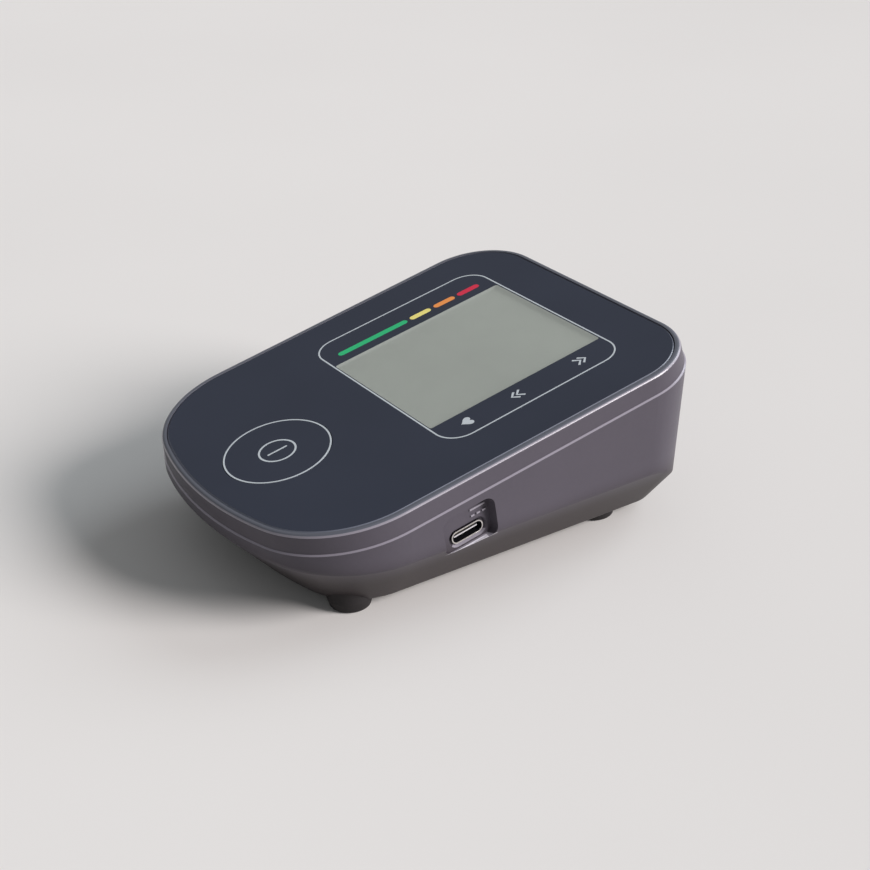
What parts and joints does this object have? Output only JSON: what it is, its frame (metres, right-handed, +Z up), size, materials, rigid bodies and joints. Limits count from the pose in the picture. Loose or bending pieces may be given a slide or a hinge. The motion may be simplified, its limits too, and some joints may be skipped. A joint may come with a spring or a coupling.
{
  "type": "blood pressure monitor",
  "caption": "Home blood pressure monitor: wedge case with tilted display panel, round start button, USB-C side socket, cuff air socket, battery door, inner air pump and valve.",
  "frame": {"origin": "on the table, under the middle of the case", "axes": "+X to the user's right, +Y to the rear (the raised end of the panel), +Z up"},
  "size_m": [0.0952, 0.1198, 0.0478],
  "materials": {
    "panel": "satin",
    "case_top": "fine moulded texture",
    "case_bottom": "fine moulded texture",
    "button": "satin",
    "foot": "matt",
    "window": "clear",
    "lcd_front": "clear",
    "lcd_rear": "reflective film",
    "carrier": "moulded",
    "strip": "matt",
    "board": "solder mask",
    "chip": "moulded",
    "buzzer": "moulded",
    "switch": "moulded",
    "switch_pin": "moulded",
    "usb_metal": "drawn",
    "usb_plastic": "moulded",
    "screw": "zinc plated",
    "cell": "printed wrap",
    "contact": "nickel plated",
    "door": "fine moulded texture",
    "motor_steel": "plated",
    "motor_plastic": "moulded",
    "magnet": "sintered",
    "armature": "laminated, enamelled wire",
    "shaft": "ground",
    "crank": "moulded",
    "pump_plastic": "moulded",
    "diaphragm": "matt",
    "sensor": "moulded",
    "manifold": "moulded",
    "valve": "moulded",
    "valve_pin": "turned",
    "tube": "silicone",
    "socket": "moulded"
  },
  "bodies": {
    "housing": {"front_panel": "panel", "top_case": "case_top", "bottom_case": "case_bottom", "foot_front_left": "foot", "foot_front_right": "foot", "foot_rear_left": "foot", "foot_rear_right": "foot", "display_window": "window", "lcd_front_glass": "lcd_front", "lcd_rear_glass": "lcd_rear", "lcd_carrier": "carrier", "connector_strip": "strip", "main_board": "board", "control_chip": "chip", "buzzer": "buzzer", "switch_body": "switch", "usb_shell": "usb_metal", "usb_tongue": "usb_plastic", "case_screw_1": "screw", "case_screw_2": "screw", "case_screw_3": "screw", "case_screw_4": "screw", "board_screw_1": "screw", "board_screw_2": "screw", "board_screw_3": "screw", "board_screw_4": "screw", "cell_1": "cell", "cell_2": "cell", "cell_3": "cell", "cell_4": "cell", "contact_right_front": "contact", "contact_right_rear": "contact", "contact_left_front": "contact", "contact_left_middle": "contact", "contact_left_rear": "contact", "motor_can": "motor_steel", "motor_cap": "motor_plastic", "magnet_upper": "magnet", "magnet_lower": "magnet", "pump_base": "pump_plastic", "pump_cap": "pump_plastic", "diaphragm": "diaphragm", "pressure_sensor": "sensor", "air_manifold": "manifold", "valve_body": "valve", "socket_tube": "tube", "valve_tube": "tube", "pump_tube": "tube", "sensor_tube": "tube", "air_socket": "socket"},
    "start_button": {"start_button": "button", "switch_plunger": "switch_pin"},
    "battery_door": {"battery_door": "door"},
    "pump_rotor": {"armature": "armature", "motor_shaft": "shaft", "crank": "crank"},
    "valve_plunger": {"valve_plunger": "valve_pin"}
  },
  "joints": [
    {"name": "button_press", "type": "slide", "parent": "housing", "child": "start_button", "axis": [0, 0.1908, -0.9816], "range_m": [0, 0.0005], "stiffness_N_per_m": 3000, "springref_m": -0.0003},
    {"name": "door_swing", "type": "hinge", "parent": "housing", "child": "battery_door", "pos_m": [0, -0.01872, 0.0025], "axis": [-1, 0, 0], "range_deg": [0, 45]},
    {"name": "rotor_spin", "type": "hinge", "parent": "housing", "child": "pump_rotor", "pos_m": [0, 0.04478, 0.0205], "axis": [1, 0, 0], "continuous": true},
    {"name": "valve_slide", "type": "slide", "parent": "housing", "child": "valve_plunger", "axis": [1, 0, 0], "range_m": [0, 0.001], "stiffness_N_per_m": 300, "springref_m": -0.001}
  ]
}
